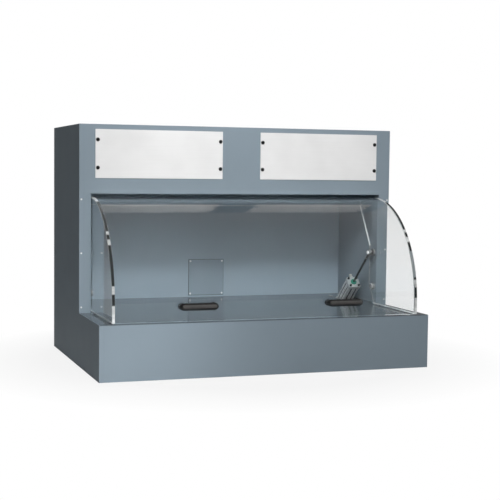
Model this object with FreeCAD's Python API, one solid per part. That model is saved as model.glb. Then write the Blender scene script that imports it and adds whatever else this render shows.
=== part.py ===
import FreeCAD, Part
import math
import os

# Bench test enclosure: sheet-metal cabinet, clear hood on two pivots, pneumatic cylinder
# Millimetres, +Z up, front towards -Y, origin under the middle of the base

# Cabinet sizes
width = 1232.0
height = 880.0
ledge_depth = 350.0
head_depth = 525.0
base_height = 195.0
opening_height = 434.0
chamber_depth = 444.0
chamber_side_gap = 20.0
sheet = 2.0
edge_radius = 1.0
plate_edge_radius = 0.5
post_width = 43.0
post_return = 52.0
fascia_return = 30.0
rear_return = 20.0

# Blank plates in the head, 19-inch pattern, four units high
plate_width = 482.6
plate_height = 177.0
plate_thickness = 3.0
plate_gap = 150.0
plate_below_roof = 18.0
plate_hole_span_x = 465.1
plate_hole_span_z = 101.6
plate_cutout_width = 450.0
plate_cutout_height = 156.0
plate_screw_radius = 3.0
plate_washer_radius = 7.0
plate_washer_thickness = 2.2
plate_washer_round = 1.3
rail_leg = 24.0
rail_depth = 40.0
rail_screw_inset = 9.0
nut_side = 10.0
nut_thickness = 5.0

# Access plate in the chamber back wall
wall_plate_width = 152.0
wall_plate_height = 151.0
wall_plate_lift = 6.0
wall_plate_thickness = 2.0
wall_plate_frame = 22.0
wall_screw_inset = 8.0
wall_screw_radius = 2.0

# Rivets on the posts: one near each end, one just above the middle
rivet_radius = 2.0
rivet_head_radius = 3.2
rivet_head_height = 1.2
rivet_head_round = 0.9
rivet_inset = 8.0
rivet_end_gap = 21.0
rivet_middle_lift = 1.0

# Rear panel
vent_length = 60.0
vent_width = 5.0
vent_end_radius = 2.2
vent_pitch_x = 90.0
vent_pitch_z = 16.0
vent_columns = 8
vent_rows = 5
vent_below_roof = 90.0
rear_screw_radius = 2.5
rear_screw_inset = 10.0
rear_screw_rows = 5
inlet_x = 480.0
socket_x = 400.0
service_height = 100.0
inlet_radius = 8.0
inlet_bore = 4.0
inlet_reach = 18.0
inlet_flange = 6.0
inlet_hex = 24.0
socket_radius = 10.0
socket_flange_side = 30.0
socket_flange = 3.0
socket_reach = 14.0
socket_wall = 2.0

# Hood
hood_side_thickness = 10.0
hood_sheet_thickness = 8.0
hood_side_gap = 2.0
hood_top_gap = 12.0
hood_sill_gap = 3.0
hood_skirt = 48.0
hood_setback = 5.0
hood_rear_reach = 162.0
hood_notch_reach = 60.0
hood_notch_height = 233.0
hood_heel_reach = 10.0
hood_heel_height = 80.0
pivot_reach = 24.0
pivot_height = 71.0
pivot_radius = 6.0
pivot_head_width = 19.0
pivot_head_height = 8.0
pivot_nut_height = 10.0
pivot_washer_thickness = 1.6
pivot_washer_radius = 12.0
bush_radius = 11.0
buffer_radius = 4.5
buffer_inset = 40.0

# Handles on the hood
handle_length = 142.0
handle_reach = 36.0
handle_height = 26.0
handle_bar = 12.0
handle_foot = 22.0
handle_corner = 16.0
handle_round = 5.0
handle_span = 544.0
handle_centre_height = 56.0
handle_screw_radius = 2.5
handle_screw_depth = 14.0

# Cylinder drive: inset from the hood's inner face, reach back from the fascia,
# height above and depth below the worktop
drive_inset = 18.0
pin_reach = 16.5
pin_height = 206.0
clevis_reach = 292.5
clevis_depth = 39.0
clevis_pin_radius = 6.0
clevis_eye_offset = 24.0
tongue_half_width = 10.0
tongue_radius = 12.0
ear_thickness = 6.0
bracket_plate = 5.0
bracket_width = 66.0
bracket_depth = 40.0
bracket_setback = 47.0
bracket_screw_x = 25.0
bracket_screw_y = 12.0
bracket_screw_radius = 2.5
slot_width = 58.0
slot_front_reach = 92.0
slot_rear_reach = 23.0
slot_corner = 6.0
cap_side = 50.0
cap_length = 15.0
cap_corner = 5.0
tube_side = 48.0
tube_length = 118.0
tube_groove = 6.0
tube_groove_depth = 5.0
tube_groove_offset = 10.0
bore_radius = 16.0
tie_offset = 17.5
tie_radius = 2.5
tie_depth = 10.0
tie_head_radius = 4.5
tie_head_height = 5.0
tie_socket_width = 4.0
piston_length = 12.0
piston_end_gap = 1.0
piston_rod_radius = 4.5
rod_thread_radius = 4.0
rod_seal_radius = 12.0
rod_seal_length = 12.0
rod_seal_proud = 4.0
rod_end_radius = 11.0
rod_end_thickness = 11.0
rod_end_reach = 32.0
rod_end_neck_radius = 5.3
rod_thread_length = 22.0
rod_nut_width = 13.0
rod_nut_height = 5.0
rod_bolt_radius = 4.0
rod_bolt_collar = 5.5
rod_bolt_head_height = 5.0
rod_bolt_head_width = 12.0
fitting_radius = 6.0
fitting_length = 18.0
fitting_hex = 14.0
fitting_hex_height = 5.0
fitting_bore = 3.0

# Drive lug on the hood
lug_thickness = 6.0
lug_radius = 14.0
lug_screw_offset = 9.6
lug_screw_radius = 1.5
lug_screw_recess = 2.0
lug_screw_grip = 7.0
lug_gap = 0.4

# Interlock, placed below the fascia's lower edge
sensor_thickness = 12.0
sensor_depth = 26.0
sensor_height = 36.0
sensor_below_fascia = 89.0
sensor_behind_post = 6.0
magnet_thickness = 7.0
magnet_side = 22.0

# Valve in the base
valve_x = 400.0
valve_y = 100.0
valve_length = 80.0
valve_depth = 40.0
valve_height = 30.0
valve_corner = 2.0
valve_port_radius = 5.0
valve_port_depth = 12.0
valve_ports = 3
valve_port_pitch = 22.0
valve_screw_radius = 2.0
valve_screw_inset = 6.0
coil_length = 34.0
coil_height = 26.0

# Proportions of pan-head screws, as multiples of the shank radius
pan_head_radius = 1.8
pan_head_height = 1.2
pan_cross_length = 2.0
pan_cross_width = 0.4

# Clearances
running_gap = 0.05
fixed_gap = 0.02
hole_gap = 0.2
side_gap = 0.3
bolt_end_gap = 0.5
same_place = 1e-6

# Places that follow from the sizes
right_x = width / 2
front_y = -(ledge_depth + head_depth) / 2
rear_y = front_y + ledge_depth + head_depth
fascia_y = front_y + ledge_depth
wall_y = fascia_y + chamber_depth
fascia_z = base_height + opening_height
plate_x = (plate_gap + plate_width) / 2
plate_z = height - plate_below_roof - plate_height / 2
post_x = right_x - post_width
hood_outer_x = post_x - hood_side_gap
hood_inner_x = hood_outer_x - hood_side_thickness
hood_bottom_z = base_height + hood_sill_gap
hood_front_y = front_y + hood_setback
hood_radius = opening_height - hood_top_gap - hood_sill_gap - hood_skirt
arc_y = hood_front_y + hood_radius
arc_z = hood_bottom_z + hood_skirt
hood_rear_y = fascia_y + hood_rear_reach
hood_notch_y = fascia_y + hood_notch_reach
pivot_y = fascia_y + pivot_reach
pivot_z = base_height + pivot_height
handle_z = base_height + handle_centre_height
drive_x = hood_inner_x - drive_inset
pin_y = fascia_y + pin_reach
pin_z = base_height + pin_height
clevis_y = fascia_y + clevis_reach
clevis_z = base_height - clevis_depth
bracket_y = clevis_y + bracket_setback
pin_distance = math.hypot(clevis_y - pin_y, pin_z - clevis_z)
drive_tilt = math.degrees(math.atan2(clevis_y - pin_y, pin_z - clevis_z))
tube_start = clevis_eye_offset + cap_length
tube_end = tube_start + tube_length
cap_end = tube_end + cap_length
piston_end = tube_end - piston_end_gap
sensor_y = fascia_y + post_return + sensor_behind_post
sensor_z = fascia_z - sensor_below_fascia

X = FreeCAD.Vector(1, 0, 0)
Y = FreeCAD.Vector(0, 1, 0)
Z = FreeCAD.Vector(0, 0, 1)


def vec(x, y, z):
    return FreeCAD.Vector(x, y, z)


def block(x_range, y_range, z_range):
    corner = vec(x_range[0], y_range[0], z_range[0])
    return Part.makeBox(x_range[1] - x_range[0], y_range[1] - y_range[0], z_range[1] - z_range[0], corner)


def around(centre, size):
    return (centre - size / 2, centre + size / 2)


def round_bar(radius, start, direction, length):
    return Part.makeCylinder(radius, length, start, direction)


def place(shape, point, direction):
    placed = shape.copy()
    turn = FreeCAD.Placement(point, FreeCAD.Rotation(Z, direction))
    placed.Placement = turn.multiply(shape.Placement)
    return placed


def mirrored(shape):
    return shape.mirror(vec(0, 0, 0), X)


def both_sides(shape):
    return Part.makeCompound([shape, mirrored(shape)])


def soften(shape, radius, wanted):
    edges = [edge for edge in shape.Edges if wanted(edge)]
    return shape.makeFillet(radius, edges)


def lies_at(edge, axis, value):
    return all(abs(getattr(vertex.Point, axis) - value) < same_place for vertex in edge.Vertexes)


def runs_along(edge, axis):
    return abs(getattr(edge.tangentAt(edge.FirstParameter), axis)) > 1 - same_place


def runs_along_z(edge):
    return runs_along(edge, "z")


def hexagon(across_flats, thickness):
    corner = across_flats / math.sqrt(3)
    points = [vec(corner * math.cos(math.radians(60 * i)), corner * math.sin(math.radians(60 * i)), 0)
              for i in range(7)]
    return Part.Face(Part.makePolygon(points)).extrude(Z * thickness)


def pan_screw(shank_radius, shank_length):
    """A screw that points down -Z, with its head seated on the plane z = 0 and a cross in the head."""
    head_height = pan_head_height * shank_radius
    slot = pan_cross_width * shank_radius
    reach = pan_cross_length * shank_radius
    head = round_bar(pan_head_radius * shank_radius, vec(0, 0, 0), Z, head_height)
    head = soften(head, head_height / 2, lambda edge: lies_at(edge, "z", head_height))
    for span_x, span_y in ((reach, slot), (slot, reach)):
        head = head.cut(block(around(0, span_x), around(0, span_y), (head_height / 2, 2 * head_height)))
    return head.fuse(round_bar(shank_radius, vec(0, 0, -shank_length), Z, shank_length)).removeSplitter()


def yz_face(points, x):
    return Part.Face(Part.makePolygon([vec(x, y, z) for y, z in points + points[:1]]))


# Cabinet sheets
def base_plate():
    return block(around(0, width), (front_y, rear_y), (0, sheet))


def right_side_panel():
    outline = [(front_y, sheet), (rear_y, sheet), (rear_y, height), (fascia_y, height),
               (fascia_y, base_height), (front_y, base_height)]
    panel = yz_face(outline, right_x - sheet).extrude(X * sheet)
    panel = soften(panel, edge_radius, lambda edge: lies_at(edge, "x", right_x))
    inner_x = right_x - sheet
    flange_y = (rear_y - 2 * sheet, rear_y - sheet)
    flange = block((inner_x - rear_return, inner_x), flange_y, (sheet, height - sheet))
    panel = panel.fuse(flange).removeSplitter()
    for z in rear_screw_heights():
        panel = panel.cut(rear_screw_hole(z, 2 * sheet))
    return panel


def roof_panel():
    roof = block(around(0, width - 2 * sheet), (fascia_y, rear_y), (height - sheet, height))
    return soften(roof, edge_radius, lambda edge: lies_at(edge, "z", height) and lies_at(edge, "y", fascia_y))


def rear_screw_x():
    return right_x - sheet - rear_screw_inset


def rear_screw_heights():
    low = sheet + 2 * rear_screw_inset
    step = (height - sheet - 2 * rear_screw_inset - low) / (rear_screw_rows - 1)
    return [low + i * step for i in range(rear_screw_rows)]


def rear_screw_hole(z, depth):
    return round_bar(rear_screw_radius + hole_gap, vec(rear_screw_x(), rear_y, z), -Y, depth)


def rear_vents():
    slot = block(around(0, vent_length), (rear_y - sheet, rear_y), around(0, vent_width))
    slot = soften(slot, vent_end_radius, lambda edge: runs_along(edge, "y"))
    slots = []
    for column in range(vent_columns):
        x = (column - (vent_columns - 1) / 2) * vent_pitch_x
        for row in range(vent_rows):
            slots.append(slot.translated(vec(x, 0, height - vent_below_roof - row * vent_pitch_z)))
    return Part.makeCompound(slots)


def rear_panel():
    panel = block(around(0, width - 2 * sheet), (rear_y - sheet, rear_y), (sheet, height - sheet))
    cuts = [rear_vents()]
    for z in rear_screw_heights():
        cuts.append(both_sides(rear_screw_hole(z, sheet)))
    cuts.append(round_bar(inlet_radius + hole_gap, vec(inlet_x, rear_y, service_height), -Y, sheet))
    cuts.append(round_bar(socket_radius + hole_gap, vec(socket_x, rear_y, service_height), -Y, sheet))
    return panel.cut(Part.makeCompound(cuts))


def rear_panel_screws():
    screw = pan_screw(rear_screw_radius, 2 * sheet + nut_thickness)
    right = [place(screw, vec(rear_screw_x(), rear_y, z), Y) for z in rear_screw_heights()]
    return both_sides(Part.makeCompound(right))


def base_front_panel():
    return block(around(0, width - 2 * sheet), (front_y, front_y + sheet), (sheet, base_height - sheet))


def bracket_screw_points():
    return [vec(drive_x + i * bracket_screw_x, bracket_y + j * bracket_screw_y, base_height)
            for i in (-1, 1) for j in (-1, 1)]


def cylinder_slot():
    slot = block(around(drive_x, slot_width), (clevis_y - slot_front_reach, clevis_y + slot_rear_reach),
                 (base_height - sheet, base_height))
    return soften(slot, slot_corner, runs_along_z)


def worktop():
    top = block(around(0, width - 2 * sheet), (front_y, wall_y + sheet), (base_height - sheet, base_height))
    top = soften(top, edge_radius,
                 lambda edge: lies_at(edge, "z", base_height) and lies_at(edge, "y", front_y))
    top = top.cut(cylinder_slot())
    for point in bracket_screw_points():
        top = top.cut(round_bar(bracket_screw_radius + hole_gap, point, -Z, sheet))
    return top


def plate_holes(y, depth):
    holes = []
    for x in (-plate_x, plate_x):
        for i in (-1, 1):
            for j in (-1, 1):
                point = vec(x + i * plate_hole_span_x / 2, y, plate_z + j * plate_hole_span_z / 2)
                holes.append(round_bar(plate_screw_radius + hole_gap, point, Y, depth))
    return Part.makeCompound(holes)


def front_fascia():
    x_range = around(0, width - 2 * sheet)
    front = block(x_range, (fascia_y, fascia_y + sheet), (fascia_z, height - sheet))
    flange = block(x_range, (fascia_y + sheet, fascia_y + fascia_return), (fascia_z, fascia_z + sheet))
    fascia = front.fuse(flange).removeSplitter()
    for x in (-plate_x, plate_x):
        fascia = fascia.cut(block(around(x, plate_cutout_width), (fascia_y, fascia_y + sheet),
                                  around(plate_z, plate_cutout_height)))
    return fascia.cut(plate_holes(fascia_y, sheet))


def rivet_points():
    middle = (base_height + fascia_z) / 2 + rivet_middle_lift
    heights = (base_height + rivet_end_gap, middle, fascia_z - rivet_end_gap)
    return [vec(right_x - rivet_inset, fascia_y, z) for z in heights]


def right_post():
    face = block((post_x, right_x - sheet), (fascia_y, fascia_y + sheet), (base_height, fascia_z))
    flange_y = (fascia_y + sheet, fascia_y + post_return)
    flange = block((post_x, post_x + sheet), flange_y, (base_height, fascia_z))
    flange = flange.cut(round_bar(pivot_radius + hole_gap, vec(post_x, pivot_y, pivot_z), X, sheet))
    post = face.fuse(flange).removeSplitter()
    for point in rivet_points():
        post = post.cut(round_bar(rivet_radius + hole_gap, point, Y, sheet))
    return post


def post_rivets():
    head = round_bar(rivet_head_radius, vec(0, 0, 0), Z, rivet_head_height)
    head = soften(head, rivet_head_round, lambda edge: lies_at(edge, "z", rivet_head_height))
    rivet = head.fuse(round_bar(rivet_radius, vec(0, 0, -sheet), Z, sheet)).removeSplitter()
    return both_sides(Part.makeCompound([place(rivet, point, -Y) for point in rivet_points()]))


def chamber_half_width():
    return right_x - chamber_side_gap


def wall_plate_centre_z():
    return base_height + wall_plate_lift + wall_plate_height / 2


def wall_screw_points():
    return [vec(i * (wall_plate_width / 2 - wall_screw_inset), wall_y - wall_plate_thickness,
                wall_plate_centre_z() + j * (wall_plate_height / 2 - wall_screw_inset))
            for i in (-1, 1) for j in (-1, 1)]


def drilled_for_wall_screws(shape):
    depth = wall_plate_thickness + sheet
    for point in wall_screw_points():
        shape = shape.cut(round_bar(wall_screw_radius + hole_gap, point, Y, depth))
    return shape


def chamber_back_wall():
    wall = block(around(0, 2 * chamber_half_width()), (wall_y, wall_y + sheet), (base_height, fascia_z))
    window = block(around(0, wall_plate_width - 2 * wall_plate_frame), (wall_y, wall_y + sheet),
                   around(wall_plate_centre_z(), wall_plate_height - 2 * wall_plate_frame))
    return drilled_for_wall_screws(wall.cut(window))


def chamber_right_wall():
    inner = chamber_half_width()
    return block((inner, inner + sheet), (fascia_y + sheet, wall_y + sheet), (base_height, fascia_z))


def chamber_ceiling():
    return block(around(0, width - 2 * sheet), (fascia_y + fascia_return, wall_y + sheet),
                 (fascia_z, fascia_z + sheet))


# Plates, rails and their screws
def blank_plate(x):
    face_y = fascia_y - plate_thickness
    plate = block(around(x, plate_width), (face_y, fascia_y), around(plate_z, plate_height))
    plate = soften(plate, plate_edge_radius, lambda edge: lies_at(edge, "y", face_y))
    return plate.cut(plate_holes(face_y, plate_thickness))


def left_blank_plate():
    return blank_plate(-plate_x)


def right_blank_plate():
    return blank_plate(plate_x)


def plate_screw_points():
    y = fascia_y - plate_thickness
    return [vec(side * plate_x + i * plate_hole_span_x / 2, y, plate_z + j * plate_hole_span_z / 2)
            for side in (-1, 1) for i in (-1, 1) for j in (-1, 1)]


def blank_plate_washers():
    ring = round_bar(plate_washer_radius, vec(0, 0, 0), Z, plate_washer_thickness)
    ring = soften(ring, plate_washer_round, lambda edge: lies_at(edge, "z", plate_washer_thickness))
    ring = ring.cut(round_bar(plate_screw_radius + hole_gap, vec(0, 0, 0), Z, plate_washer_thickness))
    return Part.makeCompound([place(ring, point, -Y) for point in plate_screw_points()])


def blank_plate_screws():
    length = plate_washer_thickness + plate_thickness + 2 * sheet + nut_thickness
    screw = pan_screw(plate_screw_radius, length)
    seats = [point - Y * plate_washer_thickness for point in plate_screw_points()]
    return Part.makeCompound([place(screw, seat, -Y) for seat in seats])


def blank_plate_nuts():
    y = fascia_y + 2 * sheet
    nuts = []
    for point in plate_screw_points():
        nut = block(around(point.x, nut_side), (y, y + nut_thickness), around(point.z, nut_side))
        bore = round_bar(plate_screw_radius + running_gap, vec(point.x, y, point.z), Y, nut_thickness)
        nuts.append(nut.cut(bore))
    return Part.makeCompound(nuts)


def rack_rails():
    y = fascia_y + sheet
    z_range = (fascia_z + sheet, height - sheet)
    rails = []
    for side in (-1, 1):
        for i in (-1, 1):
            hole_x = side * plate_x + i * plate_hole_span_x / 2
            inner_x = hole_x - i * rail_screw_inset
            outer_x = inner_x + i * rail_leg
            front = block(sorted((inner_x, outer_x)), (y, y + sheet), z_range)
            leg = block(sorted((outer_x - i * sheet, outer_x)), (y + sheet, y + rail_depth), z_range)
            rails.append(front.fuse(leg).removeSplitter().cut(plate_holes(y, sheet)))
    return Part.makeCompound(rails)


def wall_plate():
    plate = block(around(0, wall_plate_width), (wall_y - wall_plate_thickness, wall_y),
                  around(wall_plate_centre_z(), wall_plate_height))
    face_y = wall_y - wall_plate_thickness
    return drilled_for_wall_screws(soften(plate, plate_edge_radius, lambda edge: lies_at(edge, "y", face_y)))


def wall_plate_screws():
    screw = pan_screw(wall_screw_radius, wall_plate_thickness + sheet)
    return Part.makeCompound([place(screw, point, -Y) for point in wall_screw_points()])


# Hood pivots, on the right and mirrored
def pivot_bolts():
    head_x = hood_inner_x - bolt_end_gap
    head = hexagon(pivot_head_width, pivot_head_height)
    head = place(head, vec(head_x - pivot_head_height, pivot_y, pivot_z), X)
    end_x = post_x + sheet + pivot_nut_height + sheet
    shank = round_bar(pivot_radius, vec(head_x, pivot_y, pivot_z), X, end_x - head_x)
    return both_sides(head.fuse(shank).removeSplitter())


def pivot_nuts():
    nut = hexagon(pivot_head_width, pivot_nut_height)
    nut = nut.cut(round_bar(pivot_radius + fixed_gap, vec(0, 0, 0), Z, pivot_nut_height))
    return both_sides(place(nut, vec(post_x + sheet, pivot_y, pivot_z), X))


def pivot_washers():
    start = vec(post_x - pivot_washer_thickness, pivot_y, pivot_z)
    washer = round_bar(pivot_washer_radius, start, X, pivot_washer_thickness)
    return both_sides(washer.cut(round_bar(pivot_radius + running_gap, start, X, pivot_washer_thickness)))


def pivot_bushes():
    start = vec(hood_inner_x, pivot_y, pivot_z)
    bush = round_bar(bush_radius, start, X, hood_side_thickness)
    return both_sides(bush.cut(round_bar(pivot_radius + running_gap, start, X, hood_side_thickness)))


# Hood sheets
def arc_point(radius, angle):
    return vec(0, arc_y + radius * math.cos(angle), arc_z + radius * math.sin(angle))


def rear_angle():
    return math.acos((hood_rear_y - arc_y) / hood_radius)


def hood_arc(radius):
    middle = (rear_angle() + math.pi) / 2
    return Part.Arc(arc_point(radius, rear_angle()), arc_point(radius, middle), arc_point(radius, math.pi))


def line(start, end):
    return Part.LineSegment(start, end)


def extruded(curves, x_start, length):
    wire = Part.Wire([curve.toShape() for curve in curves])
    return Part.Face(wire).extrude(X * length).translated(X * x_start)


def hood_right_side():
    rear_top = arc_point(hood_radius, rear_angle())
    front_top = arc_point(hood_radius, math.pi)
    front_bottom = vec(0, hood_front_y, hood_bottom_z)
    heel_front = vec(0, fascia_y + hood_heel_reach, hood_bottom_z)
    heel_rear = vec(0, hood_notch_y, base_height + hood_heel_height)
    notch = vec(0, hood_notch_y, base_height + hood_notch_height)
    outline = [hood_arc(hood_radius), line(front_top, front_bottom), line(front_bottom, heel_front),
               line(heel_front, heel_rear), line(heel_rear, notch), line(notch, rear_top)]
    side = extruded(outline, hood_inner_x, hood_side_thickness)
    bore = round_bar(bush_radius + running_gap, vec(hood_inner_x, pivot_y, pivot_z), X, hood_side_thickness)
    return side.cut(bore)


def hood_side_with_lug_holes():
    side = hood_right_side()
    for point in lug_screw_points():
        side = side.cut(round_bar(lug_screw_radius + hole_gap, point, X, lug_screw_depth()))
    return side


def hood_front_sheet():
    inner_radius = hood_radius - hood_sheet_thickness
    outer_bottom = vec(0, hood_front_y, hood_bottom_z)
    inner_bottom = vec(0, hood_front_y + hood_sheet_thickness, hood_bottom_z)
    outline = [hood_arc(hood_radius), line(arc_point(hood_radius, math.pi), outer_bottom),
               line(outer_bottom, inner_bottom), line(inner_bottom, arc_point(inner_radius, math.pi)),
               hood_arc(inner_radius),
               line(arc_point(inner_radius, rear_angle()), arc_point(hood_radius, rear_angle()))]
    wire = Part.Wire(Part.__sortEdges__([curve.toShape() for curve in outline]))
    curved = Part.Face(wire).extrude(X * 2 * hood_inner_x).translated(X * -hood_inner_x)
    for point in handle_screw_points():
        curved = curved.cut(round_bar(handle_screw_radius + hole_gap, point, -Y, 2 * hood_sheet_thickness))
    return curved


def hood_buffers():
    x = hood_outer_x - hood_side_thickness / 2
    rows = (hood_front_y + buffer_inset, fascia_y - buffer_inset)
    pads = [round_bar(buffer_radius, vec(x, y, base_height), Z, hood_sill_gap - side_gap) for y in rows]
    return both_sides(Part.makeCompound(pads))


# Handles
def handle_screw_points():
    y = hood_front_y + hood_sheet_thickness + hole_gap
    reach = handle_length / 2 - handle_foot / 2
    return [vec(side * handle_span / 2 + i * reach, y, handle_z) for side in (-1, 1) for i in (-1, 1)]


def right_handle():
    x = handle_span / 2
    z_range = around(handle_z, handle_height)
    outer_y = hood_front_y - handle_reach
    bow = block(around(x, handle_length), (outer_y, hood_front_y), z_range)
    bow = soften(bow, handle_corner, lambda edge: runs_along_z(edge) and lies_at(edge, "y", outer_y))
    inner_y = outer_y + handle_bar
    grip = block(around(x, handle_length - 2 * handle_foot), (inner_y, hood_front_y), z_range)
    grip = soften(grip, handle_corner / 2, lambda edge: runs_along_z(edge) and lies_at(edge, "y", inner_y))
    bow = bow.cut(grip)
    bow = soften(bow, handle_round,
                 lambda edge: not runs_along_z(edge) and not lies_at(edge, "y", hood_front_y))
    depth = hood_sheet_thickness + handle_screw_depth
    for point in handle_screw_points():
        bow = bow.cut(round_bar(handle_screw_radius + fixed_gap, point, -Y, depth))
    return bow


def handle_screws():
    screw = pan_screw(handle_screw_radius, hood_sheet_thickness + handle_screw_depth - 2 * hole_gap)
    return Part.makeCompound([place(screw, point, Y) for point in handle_screw_points()])


# Drive lug on the right side of the hood
def lug_screw_points():
    x = hood_inner_x - lug_thickness + lug_screw_recess
    return [vec(x, pin_y, pin_z + i * lug_screw_offset) for i in (-1, 1)]


def lug_screw_depth():
    return lug_thickness - lug_screw_recess + lug_screw_grip


def drive_lug():
    disc = round_bar(lug_radius, vec(hood_inner_x - lug_thickness, pin_y, pin_z), X, lug_thickness)
    for point in lug_screw_points():
        disc = disc.cut(round_bar(lug_screw_radius + hole_gap, point, X, lug_thickness))
        disc = disc.cut(round_bar(pan_head_radius * lug_screw_radius + hole_gap, point, -X, lug_screw_recess))
    return disc


def drive_lug_screws():
    screw = pan_screw(lug_screw_radius, lug_screw_depth() - hole_gap)
    return Part.makeCompound([place(screw, point, -X) for point in lug_screw_points()])


# Clevis bracket, hung under the worktop behind the slot
def clevis_bracket():
    half = tongue_half_width + side_gap + ear_thickness
    top_z = base_height - sheet
    plate_z_range = (top_z - bracket_plate, top_z)
    bracket = block(around(drive_x, bracket_width), around(bracket_y, bracket_depth), plate_z_range)
    for i in (-1, 1):
        x_range = sorted((drive_x + i * (tongue_half_width + side_gap), drive_x + i * half))
        arm = block(x_range, (clevis_y, bracket_y + bracket_depth / 2), around(clevis_z, 2 * tongue_radius))
        stem = block(x_range, around(bracket_y, bracket_depth), (clevis_z, plate_z_range[0]))
        eye = round_bar(tongue_radius, vec(x_range[0], clevis_y, clevis_z), X, ear_thickness)
        bracket = bracket.fuse(arm).fuse(stem).fuse(eye)
    bore = round_bar(clevis_pin_radius + fixed_gap, vec(drive_x - half, clevis_y, clevis_z), X, 2 * half)
    bracket = bracket.removeSplitter().cut(bore)
    for point in bracket_screw_points():
        bracket = bracket.cut(round_bar(bracket_screw_radius + hole_gap, point, -Z, bracket_plate + sheet))
    return bracket


def clevis_pin():
    half = tongue_half_width + side_gap + ear_thickness + sheet
    return round_bar(clevis_pin_radius, vec(drive_x - half, clevis_y, clevis_z), X, 2 * half)


def bracket_screws():
    screw = pan_screw(bracket_screw_radius, bracket_plate + sheet + nut_thickness)
    return Part.makeCompound([place(screw, point, Z) for point in bracket_screw_points()])


# Cylinder, drawn along Z from the clevis pin and then tilted into place
def in_drive(shape):
    placed = shape.copy()
    tilt = FreeCAD.Placement(vec(drive_x, clevis_y, clevis_z), FreeCAD.Rotation(X, drive_tilt))
    placed.Placement = tilt.multiply(shape.Placement)
    return placed


def tie_points(z):
    return [vec(i * tie_offset, j * tie_offset, z) for i in (-1, 1) for j in (-1, 1)]


def square_bar(side, z_range, corner):
    bar = block(around(0, side), around(0, side), z_range)
    return soften(bar, corner, runs_along_z)


def with_tie_holes(shape, z, length):
    for point in tie_points(z):
        shape = shape.cut(round_bar(tie_radius + hole_gap, point, Z, length))
    return shape


def fitting_seat(z):
    return vec(0, cap_side / 2, z)


def with_port(cap, z):
    return cap.cut(round_bar(fitting_radius + hole_gap, fitting_seat(z), -Y, fitting_hex_height))


def cylinder_tube():
    tube = square_bar(tube_side, (tube_start, tube_end), cap_corner)
    tube = tube.cut(round_bar(bore_radius, vec(0, 0, tube_start), Z, tube_length))
    groove_floor = tube_side / 2 - tube_groove_depth
    groove = block(around(0, tube_groove), (groove_floor, tube_side), (tube_start, tube_end))
    for quarter in range(4):
        for offset in (-tube_groove_offset, tube_groove_offset):
            turned = groove.translated(X * offset)
            turned.rotate(vec(0, 0, 0), Z, 90 * quarter)
            tube = tube.cut(turned)
    tube = with_tie_holes(tube, tube_start, tie_depth)
    return in_drive(with_tie_holes(tube, tube_end - tie_depth, tie_depth))


def cylinder_rear_cap():
    cap = square_bar(cap_side, (clevis_eye_offset, tube_start), cap_corner)
    cap = with_tie_holes(cap, clevis_eye_offset, cap_length)
    tongue = block(around(0, 2 * tongue_half_width), around(0, 2 * tongue_radius), (0, clevis_eye_offset))
    eye = round_bar(tongue_radius, vec(-tongue_half_width, 0, 0), X, 2 * tongue_half_width)
    bore = round_bar(clevis_pin_radius + running_gap, vec(-tongue_half_width, 0, 0), X, 2 * tongue_half_width)
    cap = cap.fuse(tongue).fuse(eye).removeSplitter().cut(bore)
    return in_drive(with_port(cap, clevis_eye_offset + cap_length / 2))


def cylinder_front_cap():
    cap = square_bar(cap_side, (tube_end, cap_end), cap_corner)
    cap = cap.cut(round_bar(piston_rod_radius + side_gap, vec(0, 0, tube_end), Z, cap_length))
    seat_depth = rod_seal_length - rod_seal_proud
    cap = cap.cut(round_bar(rod_seal_radius + fixed_gap, vec(0, 0, cap_end - seat_depth), Z, seat_depth))
    cap = with_tie_holes(cap, tube_end, cap_length)
    return in_drive(with_port(cap, tube_end + cap_length / 2))


def rod_seal():
    start = vec(0, 0, cap_end - rod_seal_length + rod_seal_proud)
    ring = round_bar(rod_seal_radius, start, Z, rod_seal_length)
    return in_drive(ring.cut(round_bar(piston_rod_radius + running_gap, start, Z, rod_seal_length)))


def cap_screws():
    head = round_bar(tie_head_radius, vec(0, 0, 0), Z, tie_head_height)
    socket = hexagon(tie_socket_width, tie_head_height).translated(Z * tie_head_height / 2)
    length = cap_length + tie_depth - hole_gap
    screw = head.cut(socket).fuse(round_bar(tie_radius, vec(0, 0, -length), Z, length)).removeSplitter()
    screws = [place(screw, point, Z) for point in tie_points(cap_end)]
    screws += [place(screw, point, -Z) for point in tie_points(clevis_eye_offset)]
    return in_drive(Part.makeCompound(screws))


def push_fitting(length, hex_width, hex_height, radius, bore, plug_depth):
    """A push-in air fitting that stands on z = 0, with a plug below it and a blind bore above."""
    stem = round_bar(radius, vec(0, 0, -plug_depth), Z, plug_depth + length)
    body = hexagon(hex_width, hex_height).fuse(stem)
    return body.removeSplitter().cut(round_bar(bore, vec(0, 0, hex_height), Z, length))


def cylinder_fittings():
    fitting = push_fitting(fitting_length, fitting_hex, fitting_hex_height, fitting_radius, fitting_bore,
                           fitting_hex_height - hole_gap)
    places = (clevis_eye_offset + cap_length / 2, tube_end + cap_length / 2)
    return in_drive(Part.makeCompound([place(fitting, fitting_seat(z), Y) for z in places]))


def piston():
    start = vec(0, 0, piston_end - piston_length)
    disc = round_bar(bore_radius - running_gap, start, Z, piston_length)
    return in_drive(disc.cut(round_bar(piston_rod_radius + fixed_gap, start, Z, piston_length)))


def rod_shoulder():
    return pin_distance - rod_end_reach - rod_nut_height


def piston_rod():
    start = piston_end - piston_length
    shaft = round_bar(piston_rod_radius, vec(0, 0, start), Z, rod_shoulder() - start)
    thread = round_bar(rod_thread_radius, vec(0, 0, rod_shoulder()), Z, rod_thread_length)
    return in_drive(shaft.fuse(thread).removeSplitter())


def rod_nut():
    nut = hexagon(rod_nut_width, rod_nut_height)
    nut = nut.cut(round_bar(rod_thread_radius + fixed_gap, vec(0, 0, 0), Z, rod_nut_height))
    return in_drive(nut.translated(Z * rod_shoulder()))


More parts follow.
